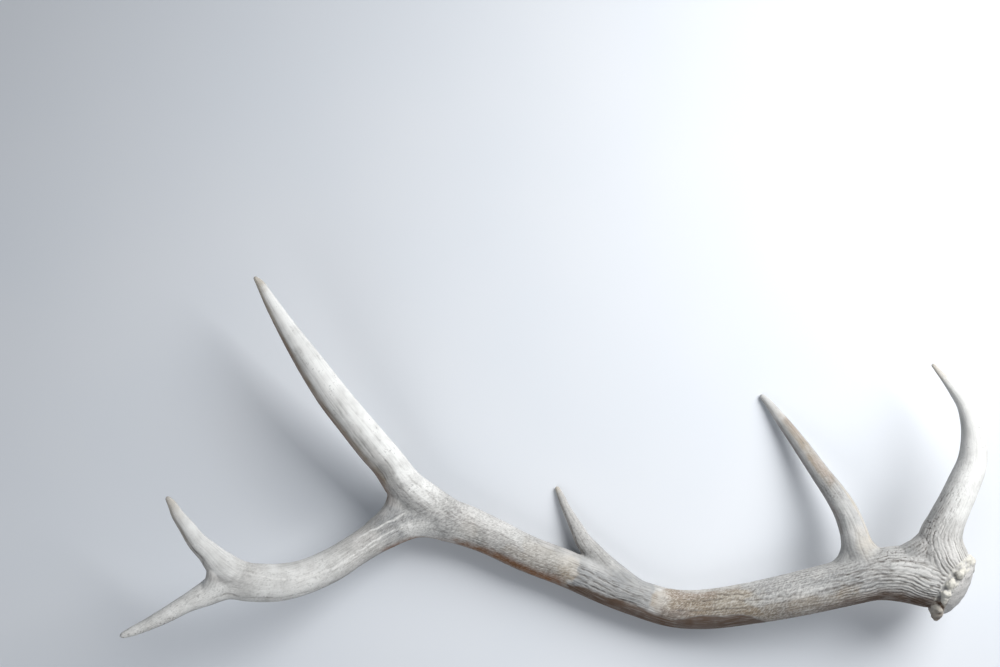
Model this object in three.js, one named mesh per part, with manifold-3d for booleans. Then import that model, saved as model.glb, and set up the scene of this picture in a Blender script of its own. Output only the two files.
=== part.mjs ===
// A cast elk antler with six points, lying on its outer side: the burr is at +X, the tines point to +Y
// and the beam's own point is at -X. Millimetres, +Z up, the floor at Z = 0.
// It grew as one bone, so its ten solids are only split at the main forks, along flat cuts.
import * as THREE from "three";
import { mergeVertices } from "three/addons/utils/BufferGeometryUtils.js";
import Module from "manifold-3d";

const wasm = await Module();
wasm.setup();

// Driving dimensions.
const CUT_GAP = 0.3; // left between the two faces of a cut
const RING_STEP = 17; // between two rings of a branch
const SIDES = 20; // of a branch
const RIDGED_SIDES = 28; // of a branch near the burr, where long ridges stand out
const WEB_SIDES = 12; // of a web in a fork
const TIP_LENGTH = 1.1; // of a branch's rounded end, in tip radii
const RIDGES = 10; // round the beam and the brow tine
const RIDGE_HEIGHT = 1.3; // at the burr
const RIDGE_FADE = 110; // length over which the ridges lose most of their height
const RIDGE_WANDER = 1.5; // how far a ridge wanders sideways, in radians of its own wave
const WANDER_LENGTH = 31; // along the branch, a radian of that wandering

// Brings the middle of the antler over the origin and its lowest points onto the floor.
const SETTLE = new THREE.Vector3(0.7, -0.3, -0.5);

// The burr: a ring of bony pearls round the foot, and the domed seal that closes it.
const BURR = {
  centre: new THREE.Vector3(465, -155, 83),
  outwards: new THREE.Vector3(0.77, -0.48, 0.41).normalize(),
  ringRadius: 38,
  pearls: 20,
  pearlSize: [5.6, 6.2, 7], // half-sizes: across the ring, along it and outwards
  unevenSize: 0.22, // how much a pearl is larger or smaller, as a share
  unevenPlace: 1.5, // how far a pearl is out of the ring
  sealRadius: 36,
  sealHeight: 16,
};

// Centre lines, each from its root to its tip. A point is x, y, z, half-width and half-thickness:
// the width lies level, and the thickness stands square to it and to the line.
const BEAM = [
  [464, -157, 83, 27, 27],
  [452, -148, 83.5, 33, 31.5],
  [432, -142, 83, 35, 34],
  [402.5, -138.5, 81, 33, 32],
  [373.5, -140.5, 78, 30, 29],
  [338.5, -151, 73, 27.5, 27],
  [286.5, -165.5, 64, 26.5, 26],
  [229, -180.5, 48, 25, 24],
  [176.5, -191, 31.5, 24, 23.5],
  [137, -191, 24, 23, 22.5],
  [97.5, -180, 23, 22.5, 22],
  [56.5, -164.5, 23, 22.5, 22],
  [7, -142.5, 23.5, 22.5, 22],
  [-42.5, -123.5, 24, 22.5, 21.5],
  [-92, -99.5, 25.5, 23.5, 22.5],
  [-136, -82.5, 30, 26, 22.5],
  [-176.5, -76.5, 38, 25, 21.5],
  [-219.5, -95, 52, 20.5, 19],
  [-248.5, -112, 64, 19, 18.5],
  [-277, -128.5, 78, 20, 19.5],
  [-308.5, -140.5, 93, 20.5, 20],
  [-337, -144.5, 107, 22, 20.5],
  [-365, -142, 121, 22.5, 19.5],
  [-390.5, -140, 134, 19.5, 16],
  [-416, -151.5, 146, 14, 12],
  [-434.5, -160, 156, 10.5, 10.5],
  [-455, -171, 166, 9, 9],
  [-474, -180, 175, 7, 7],
  [-489, -186, 182, 5.5, 5],
  [-499, -189.5, 187, 3.5, 3.5],
];
const BROW = [
  [458.5, -143, 85, 32, 28.5],
  [449, -116, 89, 31, 27],
  [448, -93, 92, 25.5, 22.5],
  [454, -73.5, 95, 21.5, 19],
  [463, -53, 97, 20, 17.5],
  [474, -28, 98, 19, 17],
  [483, -5, 98, 17.5, 15.5],
  [485.5, 16.5, 97, 15.5, 13.5],
  [483.5, 39.5, 95, 12.5, 11],
  [476, 63.5, 92, 9, 8],
  [465.5, 80.5, 89, 7, 6],
  [452, 97.5, 86, 4, 3.5],
  [441, 111.5, 84, 2.5, 2],
];
const BEZ = [
  [379, -144, 80, 24, 21.5],
  [363, -125, 77, 21, 19],
  [354.5, -107, 71, 18.5, 16.5],
  [351.5, -90, 63, 16.5, 15],
  [345, -68, 52, 15, 13.5],
  [334, -47, 42, 13.5, 12],
  [316, -19.5, 30, 11.5, 10.5],
  [298, 8.5, 20, 10, 9],
  [279.5, 35, 12, 8, 7],
  [260.5, 61, 6, 5, 4.5],
  [252, 70.5, 3.5, 3.5, 3],
];
const TREZ = [
  [103.5, -181, 24, 18.5, 16.5],
  [73, -159, 22, 18, 16],
  [52, -138.5, 20, 15, 13.5],
  [38.5, -122.5, 18, 12.5, 11.5],
  [28.5, -110, 16, 10.5, 9.5],
  [22, -98, 14, 9, 8],
  [14, -83, 11, 7, 6.5],
  [6.5, -69, 8, 5.5, 5],
  [1, -56, 5.5, 4.5, 4],
  [-4.5, -44.5, 3, 3, 2.5],
];
const ROYAL = [
  [-131, -86, 31, 26, 23],
  [-165.5, -63, 37, 26.5, 23],
  [-192, -37.5, 46, 23, 20.5],
  [-211.5, -9, 55, 21, 18.5],
  [-229, 12.5, 62, 21, 18.5],
  [-252.5, 43, 72, 20, 17.5],
  [-276, 74.5, 82, 19, 16.5],
  [-299.5, 110, 92, 16.5, 14.5],
  [-325, 150.5, 102, 12, 10.5],
  [-345, 185, 110, 8, 7],
  [-357, 207, 115, 5, 4.5],
  [-362.5, 214, 117, 2.5, 2.5],
];
const SURROYAL = [
  [-361, -141.5, 119, 20.5, 17.5],
  [-381.5, -132, 133, 19.5, 17],
  [-397.5, -117, 145, 17, 15],
  [-409, -102, 154, 13, 11.5],
  [-420.5, -89, 160, 11, 9.5],
  [-431.5, -70.5, 167, 9, 7.5],
  [-440.5, -56, 172, 7, 6],
  [-446, -43.5, 176, 5, 4],
  [-450.5, -36.5, 178, 3, 2.5],
];

// Where the cuts are, as distances along a centre line from its root.
const CUTS = {
  beam: { belowBez: 168, pastTrez: 505, pastRoyal: 763, pastSurroyal: 978 },
  brow: 76,
  bez: 60,
  trez: 108,
  royal: 112,
  surroyal: 74,
};

// Webs of bone that round the narrow side of a fork, each a short bent bar laid out like a branch.
const WEBS = {
  brow: [
    [407, -118, 83, 13, 18],
    [425, -106.5, 87, 13, 20],
    [437, -93.5, 90, 13, 19],
    [444, -80.5, 93, 13, 16],
  ],
  bezOuter: [
    [358.5, -98, 68, 11, 13],
    [363.5, -107.5, 72, 11, 15],
    [376.5, -118.5, 76, 11, 17],
    [398, -121, 78, 11, 17],
  ],
  bezInner: [
    [348, -100, 66, 12, 13],
    [347, -112, 69, 12, 14],
    [342, -125, 70, 12, 15],
    [332, -136, 69, 12, 14],
    [321.5, -142, 68, 12, 12],
  ],
  royal: [
    [-207.5, -23, 51, 13, 14],
    [-202.5, -35, 48, 13.5, 15],
    [-200, -47, 45, 13.5, 16],
    [-204, -64, 45, 13.5, 16],
    [-213.5, -77.5, 48, 13.5, 15],
    [-230.5, -92, 54, 13, 14],
  ],
  surroyal: [
    [-410, -110.5, 152, 8, 8],
    [-406.5, -118.5, 149, 8, 10],
    [-406.5, -128, 148, 8, 11],
    [-411, -137, 148, 8, 10],
    [-419, -144, 149, 8, 8],
  ],
};

// A branch as two curves with one parameter: its centre line and its half-sizes.
function branch(points) {
  const line = points.map(([x, y, z]) => new THREE.Vector3(x, y, z).add(SETTLE));
  const sizes = points.map((p) => new THREE.Vector3(p[3], p[4], 0));
  const path = new THREE.CatmullRomCurve3(line);
  path.arcLengthDivisions = 400;
  return { path, sizes: new THREE.CatmullRomCurve3(sizes), length: path.getLength() };
}

// How much a long wavy ridge lifts the surface, at an angle and a distance from the burr.
function ridgeLift(angle, distance) {
  const wander = RIDGE_WANDER * Math.sin(distance / WANDER_LENGTH + 2 * Math.sin(angle));
  const fade = Math.exp(-distance / RIDGE_FADE);
  return RIDGE_HEIGHT * fade * Math.sin(RIDGES * angle + wander);
}

// One ring of a branch, square to its line at a distance from its root.
function ring(part, distance, sides, ridged) {
  const t = part.path.getUtoTmapping(0, distance);
  const centre = part.path.getPoint(t);
  const along = part.path.getTangent(t);
  const level = new THREE.Vector3(0, 0, 1).cross(along).normalize();
  const upright = along.clone().cross(level);
  const { x: width, y: thickness } = part.sizes.getPoint(t);
  const points = [];
  for (let i = 0; i < sides; i++) {
    const angle = (i / sides) * 2 * Math.PI;
    const lift = ridged ? ridgeLift(angle, distance) : 0;
    points.push(
      centre
        .clone()
        .addScaledVector(level, Math.cos(angle) * (width + lift))
        .addScaledVector(upright, Math.sin(angle) * (thickness + lift)),
    );
  }
  return { centre, along, radius: Math.min(width, thickness), points };
}

// A closed body over rings: flat at both ends, or with a rounded tip after the last ring.
function closedBody(rings, rounded) {
  const sides = rings[0].points.length;
  const last = rings[rings.length - 1];
  const end = last.centre.clone();
  if (rounded) end.addScaledVector(last.along, last.radius * TIP_LENGTH);
  const corners = [rings[0].centre, ...rings.flatMap((r) => r.points), end];
  const faces = [];
  for (let i = 0; i < sides; i++) {
    const j = (i + 1) % sides;
    faces.push(0, 1 + j, 1 + i);
    for (let k = 0; k < rings.length - 1; k++) {
      const near = 1 + k * sides;
      const far = near + sides;
      faces.push(near + i, near + j, far + j, near + i, far + j, far + i);
    }
    const rim = 1 + (rings.length - 1) * sides;
    faces.push(rim + i, rim + j, corners.length - 1);
  }
  const body = new THREE.BufferGeometry().setFromPoints(corners);
  body.setIndex(faces);
  return solid(body);
}

// The stretch of a branch between two distances from its root; without an end it runs to the tip.
function stretch(part, from, to, { ridged = false, sides = ridged ? RIDGED_SIDES : SIDES } = {}) {
  const rounded = to === undefined;
  const stop = rounded ? part.length : to;
  const steps = Math.max(2, Math.round((stop - from) / RING_STEP));
  const rings = [];
  for (let i = 0; i <= steps; i++) {
    rings.push(ring(part, from + ((stop - from) * i) / steps, sides, ridged));
  }
  return closedBody(rings, rounded);
}

// A closed geometry as a solid that can be joined and cut.
function solid(geometry) {
  const bare = geometry.clone();
  bare.deleteAttribute("normal");
  bare.deleteAttribute("uv");
  const merged = mergeVertices(bare, 1e-4);
  const made = new wasm.Manifold(
    new wasm.Mesh({
      numProp: 3,
      vertProperties: merged.attributes.position.array,
      triVerts: new Uint32Array(merged.index.array),
    }),
  );
  return made;
}

// A rounded lump, squashed to its own half-sizes and turned.
function lump(centre, sizes, turn, detail) {
  const shape = new THREE.IcosahedronGeometry(1, detail);
  const halfSizes = new THREE.Vector3(...sizes);
  shape.applyMatrix4(new THREE.Matrix4().compose(centre, turn, halfSizes));
  return solid(shape);
}

function web(points) {
  const bar = branch(points);
  return stretch(bar, 0, bar.length, { sides: WEB_SIDES });
}

// An uneven number for each of a row of things, between -1 and 1. Each kind has its own pace.
function uneven(i, pace) {
  return Math.sin(i * pace);
}

// The uneven pearls of the burr, in a ring square to its outward direction, and the seal.
function burr() {
  const { pearls, pearlSize, unevenSize, unevenPlace, ringRadius, sealRadius, sealHeight } = BURR;
  const turn = new THREE.Quaternion().setFromUnitVectors(new THREE.Vector3(0, 0, 1), BURR.outwards);
  const centre = BURR.centre.clone().add(SETTLE);
  const pieces = [lump(centre, [sealRadius, sealRadius, sealHeight], turn, 2)];
  for (let i = 0; i < pearls; i++) {
    const angle = ((i + 0.25 * uneven(i, 2.4)) / pearls) * 2 * Math.PI;
    const share = 1 + unevenSize * uneven(i, 1.7);
    const place = new THREE.Vector3(Math.cos(angle), Math.sin(angle), 0);
    place.multiplyScalar(ringRadius + unevenPlace * uneven(i, 3.1));
    place.z = unevenPlace * uneven(i, 2.1);
    place.applyQuaternion(turn).add(centre);
    pieces.push(lump(place, pearlSize.map((size) => size * share), turn, 1));
  }
  return pieces;
}

function join(pieces) {
  return pieces.reduce((whole, piece) => whole.add(piece));
}

// Colours by eye: weathered bone, greyer along the beam and paler on the tines.
function bone(color, roughness) {
  return new THREE.MeshStandardMaterial({ color, roughness, metalness: 0 });
}

function node(name, made, material) {
  const { vertProperties, triVerts } = made.getMesh();
  const geometry = new THREE.BufferGeometry();
  geometry.setAttribute("position", new THREE.BufferAttribute(vertProperties, 3));
  geometry.setIndex(new THREE.BufferAttribute(triVerts, 1));
  geometry.computeVertexNormals();
  const mesh = new THREE.Mesh(geometry, material);
  mesh.name = name;
  return mesh;
}

const beam = branch(BEAM);
const brow = branch(BROW);
const bez = branch(BEZ);
const trez = branch(TREZ);
const royal = branch(ROYAL);
const surroyal = branch(SURROYAL);

// Each stretch of the beam carries the stubs of the tines that leave it, up to their cuts.
function beamBase() {
  return join([
    stretch(beam, 0, CUTS.beam.belowBez, { ridged: true }),
    stretch(brow, 0, CUTS.brow, { ridged: true }),
    stretch(bez, 0, CUTS.bez),
    web(WEBS.brow),
    web(WEBS.bezOuter),
    web(WEBS.bezInner),
    ...burr(),
  ]);
}

function beamLower() {
  return join([
    stretch(beam, CUTS.beam.belowBez + CUT_GAP, CUTS.beam.pastTrez),
    stretch(trez, 0, CUTS.trez),
  ]);
}

function beamMiddle() {
  return join([
    stretch(beam, CUTS.beam.pastTrez + CUT_GAP, CUTS.beam.pastRoyal),
    stretch(royal, 0, CUTS.royal),
    web(WEBS.royal),
  ]);
}

function beamUpper() {
  return join([
    stretch(beam, CUTS.beam.pastRoyal + CUT_GAP, CUTS.beam.pastSurroyal),
    stretch(surroyal, 0, CUTS.surroyal),
    web(WEBS.surroyal),
  ]);
}

// The free end of a branch, past its cut.
function freeEnd(part, cut, options) {
  return stretch(part, cut + CUT_GAP, undefined, options);
}

const antler = new THREE.Group();
antler.add(
  node("beam_base", beamBase(), bone("#aaa6a0", 0.85)),
  node("brow_tine", freeEnd(brow, CUTS.brow, { ridged: true }), bone("#cfccc6", 0.7)),
  node("bez_tine", freeEnd(bez, CUTS.bez), bone("#c2bdb4", 0.7)),
  node("beam_lower", beamLower(), bone("#ada79d", 0.8)),
  node("trez_tine", freeEnd(trez, CUTS.trez), bone("#bfbbb5", 0.72)),
  node("beam_middle", beamMiddle(), bone("#b0aca6", 0.8)),
  node("royal_tine", freeEnd(royal, CUTS.royal), bone("#cac6bf", 0.7)),
  node("beam_upper", beamUpper(), bone("#bebbb6", 0.78)),
  node("surroyal_tine", freeEnd(surroyal, CUTS.surroyal), bone("#c6c3bd", 0.72)),
  node("beam_point", freeEnd(beam, CUTS.beam.pastSurroyal), bone("#c1beb8", 0.75)),
);

export default antler;
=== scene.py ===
import bpy
import math
import time
import numpy as np
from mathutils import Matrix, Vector


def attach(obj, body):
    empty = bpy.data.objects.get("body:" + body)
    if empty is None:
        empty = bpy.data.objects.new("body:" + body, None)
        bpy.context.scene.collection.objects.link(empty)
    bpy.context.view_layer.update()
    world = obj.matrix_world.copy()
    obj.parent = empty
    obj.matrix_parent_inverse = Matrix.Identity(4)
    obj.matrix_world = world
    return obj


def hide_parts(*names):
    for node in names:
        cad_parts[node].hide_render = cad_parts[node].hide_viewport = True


# A cast elk antler with six points, lying on its outer side on a pale floor.
# Shapes are laid out in millimetres and turned into metres when the meshes are made.

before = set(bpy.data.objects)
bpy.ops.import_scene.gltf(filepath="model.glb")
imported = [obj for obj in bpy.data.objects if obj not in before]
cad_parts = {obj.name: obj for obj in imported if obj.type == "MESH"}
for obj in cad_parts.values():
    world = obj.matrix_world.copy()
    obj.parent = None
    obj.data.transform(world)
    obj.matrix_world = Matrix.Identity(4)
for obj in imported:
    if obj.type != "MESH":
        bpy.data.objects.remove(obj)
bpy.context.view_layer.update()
startTime = time.time()
print("frame loaded:", len(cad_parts), "solids")


def spent():
    return round(time.time() - startTime, 1)


def addObject(name, data):
    thing = bpy.data.objects.new(name, data)
    bpy.context.collection.objects.link(thing)
    return thing


mm = 0.001
farOff = 999.0  # mm, stands for a branch too far away to matter
settle = np.array((0.7, -0.3, -0.5))  # mm, puts the lowest points on the floor

build = {
    "voxel": 0.9,  # mm, size of the skin's squares
    "tubeSides": 40, "barSides": 24,
    "tubeStep": 3.0,  # mm between the rings of a branch
    "softPasses": 5,  # smoothing passes over the whole skin
    "forkPasses": 40,  # more of them inside the forks
    "forkReach": 9.0,  # mm, how near a second branch has to be to count as a fork
    "hollowPasses": 8,  # over the copy that shows which points lie low
    "blend": 2.2,  # mm, over which the grain of one branch gives way to the next
    "nearby": 16.0,  # mm outside a branch where its grain is still worked out
    "leastShare": 0.01,  # a branch's grain is left out where it counts for less
    "chunk": 40000,  # points measured at a time
}


def stain(zone, start, end, angle, spread, amount, edge=26, wobble=10, bow=0):
    # from start to end along a branch and spread degrees to either side of an angle; bow rounds both ends
    return dict(zone=zone, start=start, end=end, angle=angle, spread=spread, amount=amount,
                edge=edge, wobble=wobble, bow=bow)


def area(zone, amount, edge, wobble, corners):
    # a shape drawn on the unrolled branch, its corners given as run and angle
    return dict(zone=zone, amount=amount, edge=edge, wobble=wobble, corners=corners)


def crease(width, rise, corners):
    # a thin line along a branch: raised where rise is above nought, else cut in
    return dict(width=width, rise=rise, corners=corners)


# The branches: each row of a line is x, y, z, half width, half thickness.
# Angles run round a branch from its left or lower side (0), over the top (90) to the other side (180).
# Runs are in mm from the branch's root. Patches lie one over the other, in the order of the list.

# the flat brown side of the lower beam
facet = [(234, 34), (246, 62), (258, 74), (283, 80), (308, 85), (325, 76), (345, 63), (356, 50),
         (350, -40), (322, -84), (262, -66), (230, -20)]

beam = {
    "line": [
        (464, -157, 83, 27, 27), (452, -148, 83.5, 33, 31.5), (432, -142, 83, 35, 34),
        (402.5, -138.5, 81, 33, 32), (373.5, -140.5, 78, 30, 29), (338.5, -151, 73, 27.5, 27),
        (286.5, -165.5, 64, 26.5, 26), (229, -180.5, 48, 25, 24), (176.5, -191, 31.5, 24, 23.5),
        (137, -191, 24, 23, 22.5), (97.5, -180, 23, 22.5, 22), (56.5, -164.5, 23, 22.5, 22),
        (7, -142.5, 23.5, 22.5, 22), (-42.5, -123.5, 24, 22.5, 21.5), (-92, -99.5, 25.5, 23.5, 22.5),
        (-136, -82.5, 30, 26, 22.5), (-176.5, -76.5, 38, 25, 21.5), (-219.5, -95, 52, 20.5, 19),
        (-248.5, -112, 64, 19, 18.5), (-277, -128.5, 78, 20, 19.5), (-308.5, -140.5, 93, 20.5, 20),
        (-337, -144.5, 107, 22, 20.5), (-365, -142, 121, 22.5, 19.5), (-390.5, -140, 134, 19.5, 16),
        (-416, -151.5, 146, 14, 12), (-434.5, -160, 156, 10.5, 10.5), (-455, -171, 166, 9, 9),
        (-474, -180, 175, 7, 7), (-489, -186, 182, 5.5, 5), (-499, -189.5, 187, 3.5, 3.5),
    ],
    "ridges": [(0, 1.15), (40, 1.05), (90, 0.8), (140, 0.55), (200, 0.3), (370, 0.18), (395, 0.45),
               (480, 0.45), (500, 0.2), (620, 0.18), (700, 0.22), (780, 0.14), (1072, 0.06)],
    "pebbles": [(0, 0.1), (110, 0.14), (200, 0.22), (372, 0.24), (380, 0.08), (480, 0.06), (500, 0.2),
                (700, 0.2), (760, 0.14), (900, 0.1), (985, 0.14), (1072, 0.22)],
    "ridgeCount": 46, "sway": 2.4, "girth": 25,
    "lineLength": 18,  # mm, about how far a groove runs before it breaks off
    "patches": [
        stain("slate", -10, 250, 110, 75, 0.36),
        stain("slate", 105, 170, 96, 36, 0.6),
        stain("pale", 30, 82, 98, 30, 0.26),
        # painted shade with brown stain: the umber patches at low angles darken the beam's underside near
        # the burr, where shade falls
        stain("umber", -20, 165, -20, 77, 0.99),
        stain("rust", 70, 240, 34, 34, 0.3, wobble=14),
        stain("tan", 120, 250, 62, 34, 0.7, wobble=14),
        stain("umber", 110, 260, -14, 38, 0.5),
        stain("umber", 62, 146, 24, 33, 0.75, edge=34),
        stain("pale", 150, 262, 104, 11, 0.3),
        stain("slate", 375, 474, 130, 100, 0.75, edge=3, wobble=3),
        stain("pale", 436, 474, 160, 26, 0.3, edge=14),
        area("tan", 0.95, 5, 4, [(254, 150), (240, 130), (249, 110), (238, 86), (231, 60), (258, 70),
             (308, 70), (352, 60), (365, 77), (375, 90), (375, 108), (373, 136), (360, 172), (338, 208),
             (312, 196), (286, 224), (262, 202), (252, 178)]),
        stain("rust", 285, 352, 150, 18, 0.25, wobble=16),
        stain("rust", 318, 345, 84, 14, 0.3),
        stain("tip", 235, 285, 120, 26, 0.4, wobble=16),
        stain("pale", 352, 376, 118, 60, 0.3, edge=16, wobble=5, bow=40),
        stain("pale", 225, 330, 182, 24, 0.4),
        stain("umber", 322, 366, 76, 18, 0.5, edge=16),
        area("slate", 1.0, 3.5, 1.5, facet),
        # painted shade with brown stain: these two umber areas darken the beam's lower side
        area("umber", 0.9, 3.5, 1.5, facet),
        area("umber", 0.95, 6, 3, [(342, 62), (358, 65), (379, 72), (398, 74), (423, 71), (451, 68),
             (475, 56), (500, 46), (530, 34), (540, -80), (335, -80)]),
        area("even", 0.9, 5, 2, [(228, 34), (246, 62), (258, 74), (283, 80), (308, 85), (325, 76),
             (345, 63), (379, 70), (423, 69), (451, 64), (475, 52), (500, 44), (535, 34), (545, -88),
             (222, -88)]),
        stain("even", 392, 520, 168, 42, 0.85),
        stain("slit", 376, 474, 98, 40, 0.6, edge=10),
        stain("slit", 0, 150, 92, 60, 0.4, edge=40),
        stain("slit", -20, 52, 72, 60, 0.9),
        stain("slit", 640, 720, 110, 50, 0.3),
        stain("tip", 474, 545, 102, 38, 0.36, edge=5, wobble=9),
        stain("tan", 474, 570, 66, 30, 0.75, edge=10, wobble=16),
        stain("tan", 520, 640, 92, 46, 0.18, wobble=20),
        stain("rust", 485, 590, 24, 41, 0.95, wobble=10),
        stain("slate", 500, 610, 98, 42, 0.3, wobble=16),
        stain("rust", 540, 650, 4, 46, 1.0, wobble=9),
        stain("rust", 640, 738, 2, 42, 1.0, wobble=9),
        # painted shade with brown stain: umber along the beam's lower side
        stain("umber", 500, 655, -18, 38, 0.75, wobble=6),
        stain("pale", 540, 700, 150, 34, 0.35),
        stain("slate", 640, 735, 96, 60, 0.72),
        stain("pale", 785, 1090, 110, 90, 0.62, edge=80),
        stain("pit", 995, 1075, 20, 46, 0.8),
        stain("pit", 1052, 1080, 90, 180, 0.7, edge=10),
        stain("pale", 625, 705, 52, 34, 0.65),
        stain("pit", 640, 745, 95, 62, 0.22),
        stain("pit", 44, 105, 150, 32, 0.8),
        stain("pit", 740, 985, 70, 70, 0.25),
    ],
    "creases": [
        crease(1.3, -0.6, [(8, 50), (42, 66), (72, 80), (104, 92), (157, 100)]),
        crease(1.1, -0.5, [(35, 72), (72, 92), (102, 104), (150, 112)]),
        crease(1.1, -0.5, [(39, 92), (72, 102), (100, 116), (140, 124)]),
        crease(1.1, -0.6, [(29, 114), (46, 124), (69, 126), (100, 134)]),
        crease(1.2, -0.6, [(186, 100), (213, 104), (236, 108), (256, 114)]),
        crease(1.1, -0.6, [(236, 138), (250, 130), (293, 150)]),
        crease(1.1, -0.7, [(248, 112), (279, 129), (300, 126), (324, 128)]),
        crease(1.1, -0.5, [(240, 88), (268, 95), (302, 98), (340, 94)]),
        crease(1.2, -0.4, [(382, 118), (406, 130), (449, 146)]),
        crease(1.2, -0.55, [(378, 101), (416, 106), (445, 114), (476, 120)]),
        crease(1.2, -0.6, [(382, 88), (418, 88), (443, 95), (476, 99)]),
        crease(1.5, -0.7, [(392, 77), (437, 78), (476, 85)]),
        crease(1.3, 0.7, [(700, 116), (724, 118), (743, 123), (765, 127)]),
        crease(1.4, 0.8, [(715, 87), (768, 84), (803, 83), (836, 94), (887, 115), (945, 136)]),
        crease(1.1, 0.4, [(735, 68), (785, 75), (830, 86), (868, 98)]),
        crease(1.5, -0.5, [(805, 28), (851, 42), (883, 48), (919, 44), (958, 58)]),
    ],
}

# the ridges of the lower half of the burr run into the beam, those of the upper half into the brow tine
beam["grainLine"] = [(473, -174, 77, 27, 30), (459, -165, 80, 28, 31), (444, -156, 81, 30, 32),
                     (423, -148, 82, 31, 32)] + beam["line"][3:]

browTine = {
    "line": [
        (458.5, -143, 85, 32, 28.5), (449, -116, 89, 31, 27), (448, -93, 92, 25.5, 22.5),
        (454, -73.5, 95, 21.5, 19), (463, -53, 97, 20, 17.5), (474, -28, 98, 19, 17),
        (483, -5, 98, 17.5, 15.5), (485.5, 16.5, 97, 15.5, 13.5), (483.5, 39.5, 95, 12.5, 11),
        (476, 63.5, 92, 9, 8), (465.5, 80.5, 89, 7, 6), (452, 97.5, 86, 4, 3.5), (441, 111.5, 84, 2.5, 2),
    ],
    "ridges": [(0, 1.2), (50, 0.95), (85, 0.5), (115, 0.22), (180, 0.08), (277, 0.03)],
    "pebbles": [(0, 0.1), (80, 0.14), (140, 0.12), (277, 0.04)],
    "ridgeCount": 38, "sway": 1.8, "girth": 20, "lineLength": 22,
    "patches": [
        stain("pale", 25, 100, 96, 44, 0.22, edge=40),
        stain("pale", 78, 290, 128, 72, 0.95, edge=40),
        stain("pale", 100, 290, 60, 50, 0.6),
        stain("slate", 60, 200, 20, 24, 0.3),
        stain("slate", 160, 300, 110, 100, 0.3, edge=50),
        stain("pit", 22, 78, 28, 26, 0.9),
        stain("slit", 10, 120, 50, 40, 0.7),
        stain("pit", 95, 160, 40, 40, 0.25),
        stain("tip", 252, 300, 90, 180, 0.6),
    ],
}
browTine["grainLine"] = [(490, -144, 86, 14, 22), (477, -136, 88, 16, 24), (465, -128, 89, 19, 25),
                         (456, -116, 90, 22, 25), (450.5, -103, 91, 24, 24)] + browTine["line"][2:]

bezTine = {
    "line": [
        (379, -144, 80, 24, 21.5), (363, -125, 77, 21, 19), (354.5, -107, 71, 18.5, 16.5),
        (351.5, -90, 63, 16.5, 15), (345, -68, 52, 15, 13.5), (334, -47, 42, 13.5, 12),
        (316, -19.5, 30, 11.5, 10.5), (298, 8.5, 20, 10, 9), (279.5, 35, 12, 8, 7),
        (260.5, 61, 6, 5, 4.5), (252, 70.5, 3.5, 3.5, 3),
    ],
    "ridges": [(0, 0.4), (28, 0.1), (60, 0.03), (265, 0.02)],
    "pebbles": [(0, 0.2), (60, 0.1), (150, 0.12), (265, 0.05)],
    "ridgeCount": 26, "sway": 2.2, "girth": 15, "lineLength": 36,
    "patches": [
        stain("slate", -10, 280, 80, 110, 0.4),
        stain("pale", 48, 112, 84, 22, 0.2, edge=40),
        stain("tip", 42, 122, 146, 13, 0.45, edge=30),
        stain("tip", 30, 60, 120, 40, 0.3),
        stain("tan", 128, 238, 112, 40, 0.7),
        stain("rust", 128, 160, 112, 22, 0.25),
        stain("rust", 205, 236, 125, 26, 0.25),
        # painted shade with brown stain: umber along the tine's lower, left side
        stain("umber", 60, 265, 0, 34, 0.35),
        stain("pit", 100, 145, 75, 50, 0.45),
        stain("pale", 232, 280, 90, 180, 0.3),
    ],
}

trezTine = {
    "line": [
        (103.5, -181, 24, 18.5, 16.5), (73, -159, 22, 18, 16), (52, -138.5, 20, 15, 13.5),
        (38.5, -122.5, 18, 12.5, 11.5), (28.5, -110, 16, 10.5, 9.5), (22, -98, 14, 9, 8),
        (14, -83, 11, 7, 6.5), (6.5, -69, 8, 5.5, 5), (1, -56, 5.5, 4.5, 4), (-4.5, -44.5, 3, 3, 2.5),
    ],
    "ridges": [(0, 0.08), (70, 0.12), (110, 0.08), (179, 0.02)],
    "pebbles": [(0, 0.08), (60, 0.14), (150, 0.14), (179, 0.04)],
    "ridgeCount": 26, "sway": 1.6, "girth": 13, "lineLength": 30,
    "patches": [
        stain("slate", -10, 60, 100, 90, 0.6),
        stain("slate", 60, 185, 90, 120, 0.14),
        # painted shade with brown stain: umber along the tine's lower, left side
        stain("umber", 90, 185, 8, 30, 0.45),
        stain("tip", 166, 190, 90, 180, 0.5),
        stain("pit", 70, 160, 90, 60, 0.4),
    ],
    "creases": [
        crease(1.1, -0.5, [(84, 46), (104, 40), (130, 44), (158, 50)]),
    ],
}

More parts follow.
